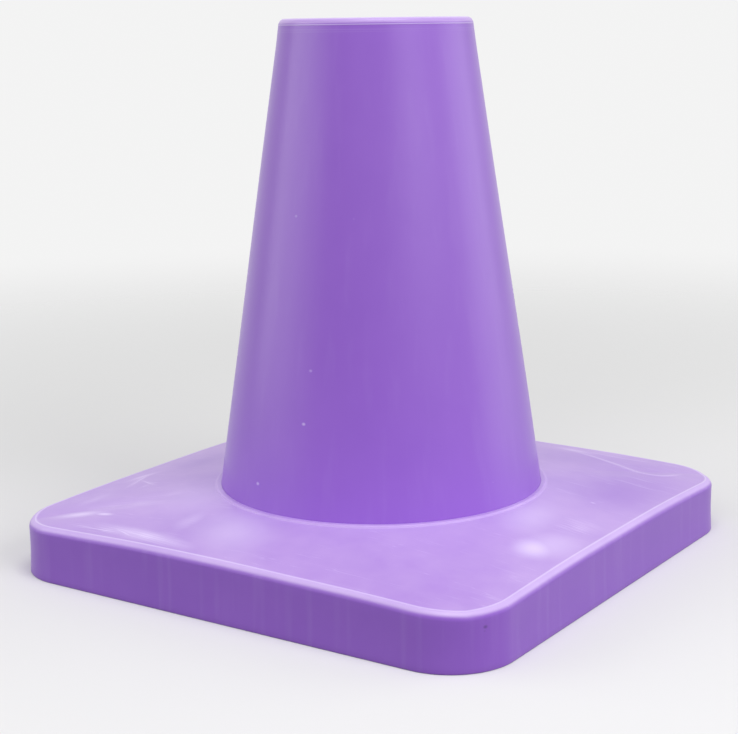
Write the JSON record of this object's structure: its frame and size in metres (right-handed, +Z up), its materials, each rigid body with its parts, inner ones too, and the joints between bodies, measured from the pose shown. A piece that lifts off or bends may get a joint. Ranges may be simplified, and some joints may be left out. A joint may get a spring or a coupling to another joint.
{
  "type": "training cone",
  "caption": "Blunt round marker cone with a closed top, standing on a square crowned base with rounded corners; hollow underneath, so that cones nest.",
  "frame": {"origin": "middle of the underside, level with the rim of the base that the cone stands on", "axes": "+Z up along the cone's axis; the sides of the square base lie along X and Y; the corner between the -Y side and the +X side is the one nearest the camera in the picture"},
  "size_m": [0.304, 0.304, 0.3],
  "materials": {
    "purple_plastic": "satin moulded plastic, light purple",
    "ring_plastic": "matte black moulded plastic",
    "zinc_steel": "bright zinc plate"
  },
  "bodies": {
    "root": {"cone_body": "purple_plastic", "square_base": "purple_plastic", "retaining_ring": "ring_plastic", "ring_screw_1": "zinc_steel", "ring_screw_2": "zinc_steel", "ring_screw_3": "zinc_steel", "ring_screw_4": "zinc_steel"}
  },
  "joints": []
}
